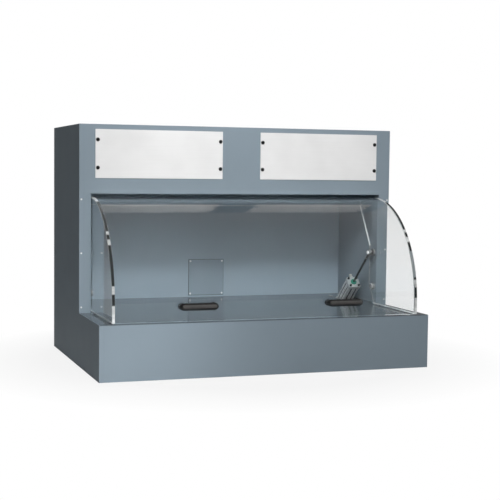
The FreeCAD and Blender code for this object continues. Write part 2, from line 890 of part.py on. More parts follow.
def rod_end():
    half = rod_end_thickness / 2
    neck_start = pin_distance - rod_end_reach
    eye = round_bar(rod_end_radius, vec(-half, 0, pin_distance), X, rod_end_thickness)
    neck = round_bar(rod_end_neck_radius, vec(0, 0, neck_start), Z, rod_end_reach - rod_bolt_radius)
    body = eye.fuse(neck).removeSplitter()
    body = body.cut(round_bar(rod_bolt_radius + fixed_gap, vec(-2 * half, 0, pin_distance), X, 4 * half))
    thread_depth = rod_thread_length - rod_nut_height + hole_gap
    thread = round_bar(rod_thread_radius + fixed_gap, vec(0, 0, neck_start), Z, thread_depth)
    return in_drive(body.cut(thread))


def rod_end_bolt():
    half = rod_end_thickness / 2
    collar_length = drive_inset - lug_thickness - lug_gap - half
    head = hexagon(rod_bolt_head_width, rod_bolt_head_height)
    head = place(head, vec(-half - rod_bolt_head_height, 0, pin_distance), X)
    shank = round_bar(rod_bolt_radius, vec(-half, 0, pin_distance), X, rod_end_thickness)
    collar = round_bar(rod_bolt_collar, vec(half, 0, pin_distance), X, collar_length)
    return in_drive(head.fuse(shank).fuse(collar).removeSplitter())


# Interlock on the left
def interlock_sensor():
    inner = -chamber_half_width()
    body = block((inner, inner + sensor_thickness), (sensor_y, sensor_y + sensor_depth),
                 around(sensor_z, sensor_height))
    return soften(body, edge_radius, lambda edge: lies_at(edge, "x", inner + sensor_thickness))


def interlock_magnet():
    outer = -hood_outer_x
    body = block((outer - magnet_thickness, outer), around(sensor_y + sensor_depth / 2, magnet_side),
                 around(sensor_z, magnet_side))
    return soften(body, edge_radius, lambda edge: lies_at(edge, "x", outer - magnet_thickness))


# Air and control pieces
def valve_screw_points():
    reach = valve_length / 2 - valve_screw_inset
    return [vec(valve_x + i * reach, valve_y, sheet + valve_height) for i in (-1, 1)]


def solenoid_valve():
    body = block(around(valve_x, valve_length), around(valve_y, valve_depth), (sheet, sheet + valve_height))
    body = soften(body, valve_corner, runs_along_z)
    for i in range(valve_ports):
        x = valve_x + (i - (valve_ports - 1) / 2) * valve_port_pitch
        start = vec(x, valve_y - valve_depth / 2, sheet + valve_height / 2)
        body = body.cut(round_bar(valve_port_radius, start, Y, valve_port_depth))
    for point in valve_screw_points():
        body = body.cut(round_bar(valve_screw_radius + hole_gap, point, -Z, valve_height))
    return body


def valve_coil():
    start_x = valve_x + valve_length / 2
    end_x = start_x + coil_length
    coil = block((start_x, end_x), around(valve_y, valve_depth), (sheet, sheet + coil_height))
    return soften(coil, valve_corner, lambda edge: lies_at(edge, "x", end_x) and runs_along_z(edge))


def valve_screws():
    screw = pan_screw(valve_screw_radius, valve_height - hole_gap)
    return Part.makeCompound([place(screw, point, Z) for point in valve_screw_points()])


def air_inlet_fitting():
    depth = sheet + inlet_flange
    fitting = push_fitting(inlet_reach, inlet_hex, inlet_flange, inlet_radius, inlet_bore, depth)
    return place(fitting, vec(inlet_x, rear_y, service_height), Y)


def control_socket():
    flange = block(around(0, socket_flange_side), around(0, socket_flange_side), (0, socket_flange))
    barrel = round_bar(socket_radius, vec(0, 0, -socket_reach), Z, 2 * socket_reach)
    body = flange.fuse(barrel).removeSplitter()
    body = body.cut(round_bar(socket_radius - socket_wall, vec(0, 0, socket_flange), Z, socket_reach))
    return place(body, vec(socket_x, rear_y, service_height), Y)


nodes = {
    "base_plate": base_plate(),
    "left_side_panel": mirrored(right_side_panel()),
    "right_side_panel": right_side_panel(),
    "roof_panel": roof_panel(),
    "rear_panel": rear_panel(),
    "rear_panel_screws": rear_panel_screws(),
    "base_front_panel": base_front_panel(),
    "worktop": worktop(),
    "front_fascia": front_fascia(),
    "left_post": mirrored(right_post()),
    "right_post": right_post(),
    "post_rivets": post_rivets(),
    "chamber_back_wall": chamber_back_wall(),
    "chamber_left_wall": mirrored(chamber_right_wall()),
    "chamber_right_wall": chamber_right_wall(),
    "chamber_ceiling": chamber_ceiling(),
    "left_blank_plate": left_blank_plate(),
    "right_blank_plate": right_blank_plate(),
    "blank_plate_screws": blank_plate_screws(),
    "blank_plate_washers": blank_plate_washers(),
    "blank_plate_nuts": blank_plate_nuts(),
    "rack_rails": rack_rails(),
    "wall_plate": wall_plate(),
    "wall_plate_screws": wall_plate_screws(),
    "pivot_bolts": pivot_bolts(),
    "pivot_nuts": pivot_nuts(),
    "pivot_washers": pivot_washers(),
    "pivot_bushes": pivot_bushes(),
    "hood_front_sheet": hood_front_sheet(),
    "hood_left_side": mirrored(hood_right_side()),
    "hood_right_side": hood_side_with_lug_holes(),
    "hood_buffers": hood_buffers(),
    "left_handle": mirrored(right_handle()),
    "right_handle": right_handle(),
    "handle_screws": handle_screws(),
    "drive_lug": drive_lug(),
    "drive_lug_screws": drive_lug_screws(),
    "clevis_bracket": clevis_bracket(),
    "clevis_pin": clevis_pin(),
    "bracket_screws": bracket_screws(),
    "cylinder_tube": cylinder_tube(),
    "cylinder_rear_cap": cylinder_rear_cap(),
    "cylinder_front_cap": cylinder_front_cap(),
    "rod_seal": rod_seal(),
    "cap_screws": cap_screws(),
    "cylinder_fittings": cylinder_fittings(),
    "piston": piston(),
    "piston_rod": piston_rod(),
    "rod_nut": rod_nut(),
    "rod_end": rod_end(),
    "rod_end_bolt": rod_end_bolt(),
    "interlock_sensor": interlock_sensor(),
    "interlock_magnet": interlock_magnet(),
    "solenoid_valve": solenoid_valve(),
    "valve_coil": valve_coil(),
    "valve_screws": valve_screws(),
    "air_inlet_fitting": air_inlet_fitting(),
    "control_socket": control_socket(),
}

os.makedirs("parts", exist_ok=True)
for name, shape in nodes.items():
    shape.exportStep(f"parts/{name}.step")
    print(name, len(shape.Solids), shape.isValid(), round(shape.Volume))
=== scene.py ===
import math

import bmesh
import bpy
from bmesh.types import BMEdge, BMVert
from mathutils import Matrix, Vector


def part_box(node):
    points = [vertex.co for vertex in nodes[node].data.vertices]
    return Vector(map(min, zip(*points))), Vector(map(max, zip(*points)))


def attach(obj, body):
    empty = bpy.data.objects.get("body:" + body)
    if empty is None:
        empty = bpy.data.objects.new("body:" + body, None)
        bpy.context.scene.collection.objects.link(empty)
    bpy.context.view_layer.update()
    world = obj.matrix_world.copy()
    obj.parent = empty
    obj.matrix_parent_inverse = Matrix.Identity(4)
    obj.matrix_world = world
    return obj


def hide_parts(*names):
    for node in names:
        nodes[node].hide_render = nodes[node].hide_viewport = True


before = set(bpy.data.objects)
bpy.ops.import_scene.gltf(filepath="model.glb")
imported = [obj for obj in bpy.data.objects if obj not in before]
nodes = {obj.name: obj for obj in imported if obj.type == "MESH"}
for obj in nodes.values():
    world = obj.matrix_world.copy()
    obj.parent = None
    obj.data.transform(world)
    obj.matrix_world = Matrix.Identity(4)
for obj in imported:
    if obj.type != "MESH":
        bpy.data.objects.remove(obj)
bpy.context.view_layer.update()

scene = bpy.context.scene

# Directions and turns
sideways = (1.0, 0.0, 0.0)
upright = (0.0, 0.0, 1.0)
quarter_turn = math.pi / 2

# Mesh limits
weld_distance = 1e-6
flat_angle = 0.01
square_on = 0.99
corner_degrees = 50.0
piece_sharp_degrees = 15.0

# Hood sizes, metres
hood_radius = 0.371
hood_arc_centre_y = -0.0615
hood_arc_centre_z = 0.246
hood_arc_steps = 96
hood_skirt = 0.048
hood_sheet_thickness = 0.008
hood_heel_front_y = -0.0775
hood_heel_rear_z = 0.275
hood_notch_y = -0.0275
hood_notch_z = 0.428
pivot_y = -0.0635
pivot_z = 0.266
bush_hole_radius = 0.01105
bush_hole_steps = 48
glue_gap = 0.0001
glow_border_width = 0.0045
polished_edge = 0.0007
polished_edge_steps = 2

# Hood finish, with its bands of painted light and shade as heights in metres
acrylic_ior = 1.49
lamp_share = (0.84, 0.85, 0.85)
rim_glow_white = (0.95, 0.97, 0.97)
rim_glow_bands = (
    (0.190, 0.256),
    (0.299, 0.322),
    (0.462, 0.476),
    (0.496, 0.502),
    (0.604, 0.622),
)
rim_shade_band = (0.206, 0.424)
rim_lit_grey_band = (0.335, 0.425)
rim_band_fade = 0.004

# Handle sizes, metres
handle_bar_depth = 0.013
handle_foot_width = 0.022
handle_turn_radius = 0.005
handle_turn_steps = 10
handle_edge_round = 0.0062
handle_edge_steps = 6
handle_front_crown = 0.007
handle_crown_steps = 6
handle_end_round = 0.017
handle_end_steps = 9
handle_end_tip = 0.001
handle_end_share = 0.12
handle_sharp_degrees = 60.0

# Plastic finish, with a painted highlight on the grip's front face
highlight_face_normal = (0.0, -0.990, 0.139)
highlight_face_edge = 0.86
highlight_face_core = 0.95
plastic_grain_scale = 900.0
plastic_grain_depth = 0.00003
patch_scale = 38.0

# Access plate in the back wall, metres
access_plate_edge = 0.0018
access_plate_edge_steps = 2

# Cylinder place, tube section and rod end bolt, metres
clevis_pivot = Vector((0.543, 0.205, 0.156))
cylinder_normal = Vector((0.0, 0.663859, 0.747858))
tube_half_side = 0.0240
groove_shade_depth = 0.0040
groove_lip = 0.0010
bolt_head_height = 0.005
bolt_head_fade = 0.001

# Metal finish
tool_line_depth = 0.000008
cast_grain_scale = 420.0
cast_grain_depth = 0.00002
tarnish_scale = 26.0

# Photograph camera
picture_size = 500
sensor_width = 36.0
focal_pixels = 1178.005
camera_place = Vector((-1.43502, -4.30050, 0.71566))
camera_yaw = math.radians(19.273)
camera_pitch = math.radians(-3.822)
camera_roll = math.radians(0.656)

# Studio light, with its spans as shares of a direction
ambient_light = 0.24
gloss_room = 0.13
gloss_right = 0.9
gloss_right_span = (0.45, 0.75)
gloss_above = 0.26
gloss_above_span = (0.30, 0.80)
gloss_lamp = 3.0
gloss_lamp_span = (0.94, 0.99)
first_hit = 0.5
object_middle = Vector((0.0, 0.0, 0.44))

# Lamps, metres, watts and degrees
key_place = Vector((-0.62, -2.8, 2.60))
lamps = {
    "key_softbox": {"place": key_place, "aim": Vector((-0.05, -0.1, 1.05)),
                    "size": (0.9, 0.8), "power": 23.5, "beam": 80.0},
    "low_fill": {"place": Vector((-0.45, -1.9, 0.35)), "aim": Vector((-0.55, -0.44, 0.08)),
                 "size": (0.3, 0.3), "power": 0.75, "beam": 45.0},
    "rear_fill": {"place": Vector((1.9, 2.6, 1.5)), "aim": Vector((0.45, 0.35, 0.45)),
                  "size": (0.9, 0.8), "power": 5.5, "beam": 60.0},
}
lamp_middle = (0.5, 0.5, 0.0)
lamp_fade_span = (0.05, 0.50)
lamp_fade_gain = 3.441

# Studio floor, metres
floor_half_size = 14.0
floor_fade_span = (0.7, 1.1)
floor_glow_near = 0.86
floor_dark = (0.41, 0.41, 0.41)
floor_light = (0.44, 0.44, 0.44)


# Material recipes
class NodeTools:
    """Short ways to add and join nodes in one tree."""

    def __init__(self, tree):
        self.tree = tree

    def add(self, kind):
        return self.tree.nodes.new(kind)

    def join(self, source, target):
        """Links a socket to its target, or writes a plain value there."""
        if isinstance(source, bpy.types.NodeSocket):
            self.tree.links.new(source, target)
        else:
            target.default_value = source

    def combine(self, operation, first, second=0.0):
        """Two numbers worked into one."""
        node = self.add("ShaderNodeMath")
        node.operation = operation
        self.join(first, node.inputs[0])
        self.join(second, node.inputs[1])
        return node.outputs["Value"]

    def measure(self, operation, vector, other=(0.0, 0.0, 0.0)):
        """One number from a vector, such as its length or its distance from another."""
        node = self.add("ShaderNodeVectorMath")
        node.operation = operation
        self.join(vector, node.inputs[0])
        self.join(other, node.inputs[1])
        return node.outputs["Value"]

    def part(self, vector, axis):
        """A vector's share along one axis."""
        node = self.add("ShaderNodeSeparateXYZ")
        self.join(vector, node.inputs["Vector"])
        return node.outputs[axis]

    def spread(self, factor, low, high, start=0.35, end=0.65, kind="LINEAR"):
        """The factor's stretch from start to end, spread from low to high and held beyond."""
        node = self.add("ShaderNodeMapRange")
        node.interpolation_type = kind
        limits = {"From Min": start, "From Max": end, "To Min": low, "To Max": high}
        for name, value in limits.items():
            node.inputs[name].default_value = value
        self.join(factor, node.inputs["Value"])
        return node.outputs["Result"]

    def blend(self, factor, low, high):
        """A number between low and high, by a factor."""
        node = self.add("ShaderNodeMix")
        self.join(factor, node.inputs[0])
        self.join(low, node.inputs[2])
        self.join(high, node.inputs[3])
        return node.outputs[0]


class Finish(NodeTools):
    """One node material: patterns on object coordinates feed the main shader."""

    def __init__(self, name):
        self.material = bpy.data.materials.new(name)
        self.material.use_nodes = True
        super().__init__(self.material.node_tree)
        self.shader = self.tree.nodes["Principled BSDF"]
        coordinates = self.add("ShaderNodeTexCoord").outputs
        self.place = coordinates["Object"]
        self.facing = coordinates["Normal"]

    def set(self, **values):
        for name, value in values.items():
            self.shader.inputs[name.replace("_", " ")].default_value = value

    def grain(self, scale, detail=3.0, stretch=(1.0, 1.0, 1.0)):
        """Noise on the object's own coordinates."""
        mapping = self.add("ShaderNodeMapping")
        mapping.inputs["Scale"].default_value = stretch
        self.join(self.place, mapping.inputs["Vector"])
        noise = self.add("ShaderNodeTexNoise")
        noise.inputs["Scale"].default_value = scale
        noise.inputs["Detail"].default_value = detail
        self.join(mapping.outputs["Vector"], noise.inputs["Vector"])
        return noise.outputs["Fac"]

    def patches(self, scale):
        """Soft patches that run from nothing to one."""
        return self.spread(self.grain(scale), 0.0, 1.0)

    def band(self, height, limits):
        """One between two heights, fading to nothing just outside them."""
        low, high = limits
        above = self.spread(height, 0.0, 1.0, low - rim_band_fade, low)
        below = self.spread(height, 1.0, 0.0, high, high + rim_band_fade)
        return self.combine("MULTIPLY", above, below)

    def tint(self, factor, dark, light):
        """A colour between dark and light, by a factor."""
        node = self.add("ShaderNodeMix")
        node.data_type = "RGBA"
        self.join(factor, node.inputs["Factor"])
        for name, colour in (("A", dark), ("B", light)):
            socket = next(s for s in node.inputs if s.name == name and s.type == "RGBA")
            linked = isinstance(colour, bpy.types.NodeSocket)
            self.join(colour if linked else (*colour, 1.0), socket)
        return next(s for s in node.outputs if s.type == "RGBA")

    def colour(self, socket):
        self.join(socket, self.shader.inputs["Base Color"])

    def rough(self, socket):
        self.join(socket, self.shader.inputs["Roughness"])

    def bump(self, height, depth):
        node = self.add("ShaderNodeBump")
        node.inputs["Distance"].default_value = depth
        node.inputs["Strength"].default_value = 1.0
        self.join(height, node.inputs["Height"])
        self.join(node.outputs["Normal"], self.shader.inputs["Normal"])

    def choose(self, factor, other):
        """Shows the other shader in place of the main one where the factor is one."""
        choice = self.add("ShaderNodeMixShader")
        self.join(factor, choice.inputs["Fac"])
        self.join(self.shader.outputs["BSDF"], choice.inputs[1])
        self.join(other, choice.inputs[2])
        surface = self.tree.nodes["Material Output"].inputs["Surface"]
        self.join(choice.outputs["Shader"], surface)

    def let_lamps_through(self):
        """Lets lamp light pass a clear surface, a little dimmed."""
        path = self.add("ShaderNodeLightPath")
        through = self.add("ShaderNodeBsdfTransparent")
        through.inputs["Color"].default_value = (*lamp_share, 1.0)
        self.choose(path.outputs["Is Shadow Ray"], through.outputs["BSDF"])


def shade(colour, amount):
    return tuple(channel * amount for channel in colour)


def powder_paint(name, colour, roughness, peel=0.00002, sheen=0.12):
    """Stoved enamel on sheet steel: fine orange peel, cloudy gloss and a little dust."""
    finish = Finish(name)
    body = finish.tint(finish.patches(scale=4.0), shade(colour, 0.98), shade(colour, 1.02))
    dust = finish.grain(scale=1400.0, detail=1.0)
    dust = finish.spread(dust, 0.0, 0.35, start=0.66, end=0.74)
    finish.colour(finish.tint(dust, body, shade(colour, 1.25)))
    finish.rough(finish.spread(finish.grain(scale=11.0), roughness, roughness + 0.03))
    finish.bump(finish.grain(scale=650.0, detail=2.0), peel)
    finish.set(IOR=1.45, Specular_IOR_Level=sheen)
    return finish.material


def plate_lacquer():
    """Pale satin plate with fine lines along its length."""
    finish = Finish("pale_plate_lacquer")
    lines = finish.grain(scale=220.0, stretch=(0.02, 1.0, 4.0))
    body = finish.tint(finish.patches(scale=5.0), (0.71, 0.71, 0.71), (0.78, 0.78, 0.78))
    finish.colour(finish.tint(finish.spread(lines, 0.0, 0.12), body, (0.56, 0.56, 0.56)))
    finish.rough(finish.spread(lines, 0.38, 0.50))
    finish.bump(lines, tool_line_depth)
    return finish.material


def clear_acrylic():
    """Clear cast acrylic that lamps shine through, with faint wipe marks."""
    finish = Finish("clear_acrylic_sheet")
    wipes = finish.grain(scale=9.0, detail=4.0, stretch=(1.0, 1.0, 3.0))
    wiped = finish.spread(wipes, 0.0, 1.0)
    finish.colour(finish.tint(wiped, (0.990, 0.996, 0.995), (0.998, 1.000, 0.999)))
    finish.rough(finish.spread(wipes, 0.001, 0.003, start=0.2, end=0.8))
    finish.bump(finish.grain(scale=7.0, detail=1.0), 0.00004)
    finish.set(IOR=acrylic_ior, Transmission_Weight=1.0)
    finish.let_lamps_through()
    return finish.material


def acrylic_straight_rim():
    """Polished straight edge, painted white for the light it gathers, with painted shade
    making it dimmer behind the pivot.
    """
    finish = Finish("polished_straight_rim")
    # The white is painted light for the light the edge gathers; the dim band of heights is
    # painted shade.
    painted_glow = finish.grain(scale=16.0, detail=2.0)
    painted_glow = finish.spread(painted_glow, 0.0, 1.0, start=0.30, end=0.60)
    white = finish.tint(painted_glow, (0.70, 0.73, 0.74), rim_glow_white)
    painted_dim = finish.band(finish.part(finish.place, "Z"), rim_shade_band)
    finish.colour(finish.tint(painted_dim, white, (0.36, 0.39, 0.40)))
    finish.rough(finish.spread(painted_glow, 0.06, 0.16, start=0.0, end=1.0))
    finish.set(IOR=acrylic_ior, Transmission_Weight=0.15)
    finish.let_lamps_through()
    return finish.material


def acrylic_curved_rim():
    """Polished curved edge: painted dark for the dark room it reflects, with painted bright
    blocks where light gathers, and a painted lighter grey band on the right side.
    """
    finish = Finish("polished_curved_rim")
    height = finish.part(finish.place, "Z")
    # Painted light: bright blocks at set heights and a lighter grey band on the right; the
    # dark inside is a painted reflection.
    painted_glow = 0.0
    for limits in rim_glow_bands:
        painted_glow = finish.combine("MAXIMUM", painted_glow, finish.band(height, limits))
    mottle = finish.grain(scale=60.0, detail=2.0, stretch=(0.2, 1.0, 1.0))
    mottle = finish.spread(mottle, 0.55, 1.0)
    painted_glow = finish.combine("MULTIPLY", painted_glow, mottle)
    right_side = finish.combine("GREATER_THAN", finish.part(finish.place, "X"), 0.0)
    grey = finish.combine("MULTIPLY", finish.band(height, rim_lit_grey_band), right_side)
    inside = finish.tint(grey, (0.030, 0.034, 0.036), (0.32, 0.36, 0.38))
    finish.colour(finish.tint(painted_glow, inside, rim_glow_white))
    finish.rough(finish.spread(mottle, 0.04, 0.12, start=0.5, end=1.0))
    finish.set(IOR=acrylic_ior, Transmission_Weight=0.30)
    finish.let_lamps_through()
    return finish.material


def moulded_plastic(name, colour, roughness):
    """Moulded plastic with a fine spark-eroded grain and rubbed patches."""
    finish = Finish(name)
    patchy = finish.patches(patch_scale)
    finish.colour(finish.tint(patchy, shade(colour, 0.85), shade(colour, 1.2)))
    finish.rough(finish.spread(finish.grain(scale=24.0), roughness - 0.05, roughness + 0.09))
    finish.bump(finish.grain(plastic_grain_scale, detail=2.0), plastic_grain_depth)
    return finish.material


def grip_plastic():
    """Black moulded grip: a matt face painted grey as a highlight, between glossy rounded
    edges.
    """
    finish = Finish("black_handle_plastic")
    # Painted highlight: the face towards the front is painted lighter grey, in patches.
    face = finish.measure("DOT_PRODUCT", finish.facing, highlight_face_normal)
    face = finish.spread(face, 0.0, 1.0, highlight_face_edge, highlight_face_core)
    patchy = finish.spread(finish.grain(patch_scale), 0.7, 1.0)
    face = finish.combine("MULTIPLY", face, patchy)
    finish.colour(finish.tint(face, (0.005, 0.005, 0.005), (0.066, 0.063, 0.061)))
    finish.rough(finish.spread(face, 0.24, 0.46, start=0.0, end=1.0))
    finish.bump(finish.grain(plastic_grain_scale, detail=2.0), plastic_grain_depth)
    return finish.material


def worked_metal(name, colour, roughness, scale=300.0, depth=tool_line_depth, bare=1.0):
    """Bare or plated metal with tool lines, patchy gloss and slight tarnish."""
    finish = Finish(name)
    lines = finish.grain(scale)
    finish.colour(finish.tint(finish.patches(tarnish_scale), shade(colour, 0.86), colour))
    finish.rough(finish.spread(lines, roughness - 0.05, roughness + 0.10))
    finish.bump(lines, depth)
    finish.set(Metallic=bare)
    return finish.material


def drawn_tube():
    """Drawn aluminium profile: bright faces, with painted shade down in its grooves."""
    finish = Finish("drawn_tube_aluminium")
    lines = finish.grain(scale=160.0, stretch=(6.0, 0.4, 0.4))
    # Painted shade: the colour goes dark within the grooves' depth from the tube's faces.
    across = finish.combine("SUBTRACT", finish.part(finish.place, "X"), clevis_pivot.x)
    lift = finish.measure("DOT_PRODUCT", finish.place, cylinder_normal)
    lift = finish.combine("SUBTRACT", lift, cylinder_normal.dot(clevis_pivot))
    reach = finish.combine("MAXIMUM", finish.combine("ABSOLUTE", across),
                           finish.combine("ABSOLUTE", lift))
    face = finish.spread(reach, 0.0, 1.0, start=tube_half_side - groove_shade_depth,
                         end=tube_half_side - groove_lip)
    bright = finish.tint(finish.patches(tarnish_scale), (0.80, 0.81, 0.81), (0.93, 0.94, 0.94))
    finish.colour(finish.tint(face, (0.030, 0.032, 0.034), bright))
    finish.rough(finish.spread(lines, 0.25, 0.40))
    finish.bump(lines, tool_line_depth)
    finish.set(Metallic=0.5)
    return finish.material


def bolt_steel():
    """Bright turned bolt head, with the shank beyond it painted dark as shade."""
    finish = Finish("rod_end_bolt_steel")
    lines = finish.grain(scale=300.0)
    # Painted shade: the bolt darkens past its head.
    head_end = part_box("rod_end_bolt")[0].x + bolt_head_height
    shank = finish.part(finish.place, "X")
    shank = finish.spread(shank, 0.0, 1.0, start=head_end, end=head_end + bolt_head_fade)
    head = finish.tint(finish.patches(tarnish_scale), (0.80, 0.81, 0.82), (0.92, 0.93, 0.94))
    finish.colour(finish.tint(shank, head, (0.060, 0.062, 0.066)))
    finish.rough(finish.spread(lines, 0.17, 0.32))
    finish.bump(lines, tool_line_depth)
    finish.set(Metallic=0.12)
    return finish.material


# Finishes of this object
cabinet_colour = (0.215, 0.265, 0.305)
cabinet_paint = powder_paint("cabinet_paint", cabinet_colour, 0.36)
# Painted shade: the cabinet paint darkened to 0.36 for the worktop, under a glossier coat.
worktop_shaded_paint = powder_paint("worktop_gloss_shaded_paint", shade(cabinet_colour, 0.36), 0.09,
                             peel=0.000002, sheen=0.5)
# Painted light: the cabinet paint made 1.22 times lighter for the chamber's walls.
chamber_lit_paint = powder_paint("chamber_wall_lit_paint", shade(cabinet_colour, 1.22), 0.28)
wall_plate_paint = powder_paint("wall_plate_paint", shade(cabinet_colour, 0.98), 0.30)
# Painted shade: a dark paint for the access plate's edges.
plate_edge_shade = powder_paint("plate_edge_shade", shade(cabinet_colour, 0.22), 0.45)
plate_finish = plate_lacquer()
acrylic = clear_acrylic()
straight_rim = acrylic_straight_rim()
curved_rim = acrylic_curved_rim()
handle_plastic = grip_plastic()
housing_plastic = moulded_plastic("black_housing_plastic", (0.018, 0.018, 0.019), 0.42)
bush_plastic = moulded_plastic("dark_bush_plastic", (0.030, 0.030, 0.032), 0.38)
buffer_rubber = moulded_plastic("buffer_rubber", (0.022, 0.022, 0.023), 0.62)
seal_rubber = moulded_plastic("green_seal_ring", (0.022, 0.20, 0.14), 0.36)
black_steel = worked_metal("blackened_screw_steel", (0.045, 0.045, 0.047), 0.34)
bright_steel = worked_metal("bright_zinc_steel", (0.86, 0.87, 0.88), 0.20, bare=0.7)
rod_chrome = worked_metal("ground_rod_chrome", (0.22, 0.225, 0.23), 0.12,
                          scale=500.0, depth=0.000002)
tube_aluminium = drawn_tube()
cap_aluminium = worked_metal("cast_cap_aluminium", (0.66, 0.67, 0.68), 0.34,
                             cast_grain_scale, cast_grain_depth, bare=0.6)
dull_steel = worked_metal("dull_forged_steel", (0.24, 0.25, 0.26), 0.32,
                          cast_grain_scale, cast_grain_depth, bare=0.8)
rivet_aluminium = worked_metal("bright_rivet_aluminium", (0.92, 0.93, 0.94), 0.22, bare=0.12)
bolt_finish = bolt_steel()
fitting_nickel = worked_metal("nickel_plated_fitting", (0.84, 0.83, 0.80), 0.24, bare=0.6)

node_finishes = {
    cabinet_paint: ["base_plate", "left_side_panel", "right_side_panel", "roof_panel",
                    "rear_panel", "base_front_panel", "front_fascia", "left_post",
                    "right_post", "chamber_right_wall"],
    worktop_shaded_paint: ["worktop"],
    chamber_lit_paint: ["chamber_back_wall", "chamber_left_wall", "chamber_ceiling"],
    plate_finish: ["left_blank_plate", "right_blank_plate"],
    black_steel: ["blank_plate_screws", "cap_screws"],
    bright_steel: ["blank_plate_nuts", "rack_rails", "rear_panel_screws", "pivot_bolts",
                   "pivot_nuts", "clevis_bracket", "clevis_pin", "valve_screws",
                   "handle_screws"],
    dull_steel: ["bracket_screws", "drive_lug", "drive_lug_screws", "rod_nut", "rod_end"],
    rivet_aluminium: ["post_rivets", "wall_plate_screws"],
    bolt_finish: ["rod_end_bolt"],
    housing_plastic: ["blank_plate_washers", "interlock_sensor", "interlock_magnet",
                      "valve_coil", "control_socket"],
    bush_plastic: ["pivot_bushes", "pivot_washers"],
    buffer_rubber: ["hood_buffers"],
    seal_rubber: ["rod_seal"],
    rod_chrome: ["piston_rod"],
    tube_aluminium: ["cylinder_tube"],
    cap_aluminium: ["cylinder_rear_cap", "cylinder_front_cap", "piston", "solenoid_valve"],
    fitting_nickel: ["air_inlet_fitting", "cylinder_fittings"],
}
for material, names in node_finishes.items():
    for name in names:
        slots = nodes[name].data.materials
        slots.clear()
        slots.append(material)


# Ways to shape a mesh
def only(kind, items):
    return [item for item in items if isinstance(item, kind)]


def far_edge(drawn):
    """The edge at the far end of what was drawn, the one with both its ends there."""
    ends = only(BMVert, drawn)
    return next(e for e in only(BMEdge, drawn) if all(vert in ends for vert in e.verts))


def pushed(shape, edge, step):
    """The edge drawn on by one step, with a face behind it."""
    drawn = bmesh.ops.extrude_edge_only(shape, edges=[edge])["geom"]
    bmesh.ops.translate(shape, verts=only(BMVert, drawn), vec=step)
    return far_edge(drawn)


def swept(shape, items, centre, axis, angle, steps):
    """Points and edges drawn round an arc, to what stands at its far end."""
    return bmesh.ops.spin(shape, geom=items, cent=centre, axis=axis, angle=angle,
                          steps=steps, use_duplicate=False)["geom_last"]


def weld(shape):
    bmesh.ops.remove_doubles(shape, verts=shape.verts, dist=weld_distance)


def face_outwards(shape):
    bmesh.ops.recalc_face_normals(shape, faces=shape.faces)


def thicken(shape, step):
    """Draws every face on by one step, so that a flat outline becomes a closed solid."""
    drawn = bmesh.ops.extrude_face_region(shape, geom=shape.faces[:])["geom"]
    bmesh.ops.translate(shape, verts=only(BMVert, drawn), vec=step)
    face_outwards(shape)


def cut(shape, place, normal):
    """New edges where a plane passes, with nothing taken off."""
    bmesh.ops.bisect_plane(shape, geom=shape.verts[:] + shape.edges[:] + shape.faces[:],
                           dist=weld_distance, plane_co=place, plane_no=normal)


def corner_edges(shape):
    limit = math.radians(corner_degrees)
    return [edge for edge in shape.edges
            if len(edge.link_faces) == 2 and edge.calc_face_angle() > limit]


def round_edges(shape, edges, size, steps):
    bmesh.ops.bevel(shape, geom=edges, offset=size, offset_type="OFFSET", affect="EDGES",
                    segments=steps, profile=0.5, material=-1, clamp_overlap=True)


def new_piece(name, shape, materials, body, replaced, sharp_degrees=piece_sharp_degrees):
    """One finished piece from its shape, riding on a body in place of CAD nodes."""
    mesh = bpy.data.meshes.new(name)
    shape.to_mesh(mesh)
    shape.free()
    for material in materials:
        mesh.materials.append(material)
    mesh.shade_smooth()
    mesh.set_sharp_from_angle(angle=math.radians(sharp_degrees))
    piece = bpy.data.objects.new(name, mesh)
    scene.collection.objects.link(piece)
    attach(piece, body)
    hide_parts(*replaced)


# Clear hood
def hood_arc(shape, items, x):
    """Points and edges drawn up and over the hood's arc to its rear end."""
    rear_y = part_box("hood_right_side")[1].y
    angle = quarter_turn + math.asin((rear_y - hood_arc_centre_y) / hood_radius)
    centre = (x, hood_arc_centre_y, hood_arc_centre_z)
    swept(shape, items, centre, sideways, -angle, hood_arc_steps)


def depth_in_hood(face):
    """Distance inwards from the hood's outer arc and the upright stretch below it."""
    middle = face.calc_center_median()
    rise = max(middle.z - hood_arc_centre_z, 0.0)
    return hood_radius - math.hypot(middle.y - hood_arc_centre_y, rise)


def polish_edges(shape):
    round_edges(shape, corner_edges(shape), polished_edge, polished_edge_steps)


def hood_front_sheet():
    """One bent sheet: an upright skirt, then the arc, given its thickness inwards."""
    low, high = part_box("hood_front_sheet")
    half = high.x - glue_gap
    shape = bmesh.new()
    foot = shape.edges.new([shape.verts.new((x, low.y, low.z)) for x in (-half, half)])
    brow = pushed(shape, foot, (0.0, 0.0, hood_skirt))
    hood_arc(shape, [*brow.verts, brow], 0.0)
    weld(shape)
    face_outwards(shape)
    bmesh.ops.solidify(shape, geom=shape.faces[:], thickness=hood_sheet_thickness)
    face_outwards(shape)
    # Its cut edge faces take the rim finish, which paints the light the edge gathers.
    for face in shape.faces:
        on_rim = polished_edge < depth_in_hood(face) < hood_sheet_thickness - polished_edge
        face.material_index = 1 if on_rim else 0
    polish_edges(shape)
    return shape


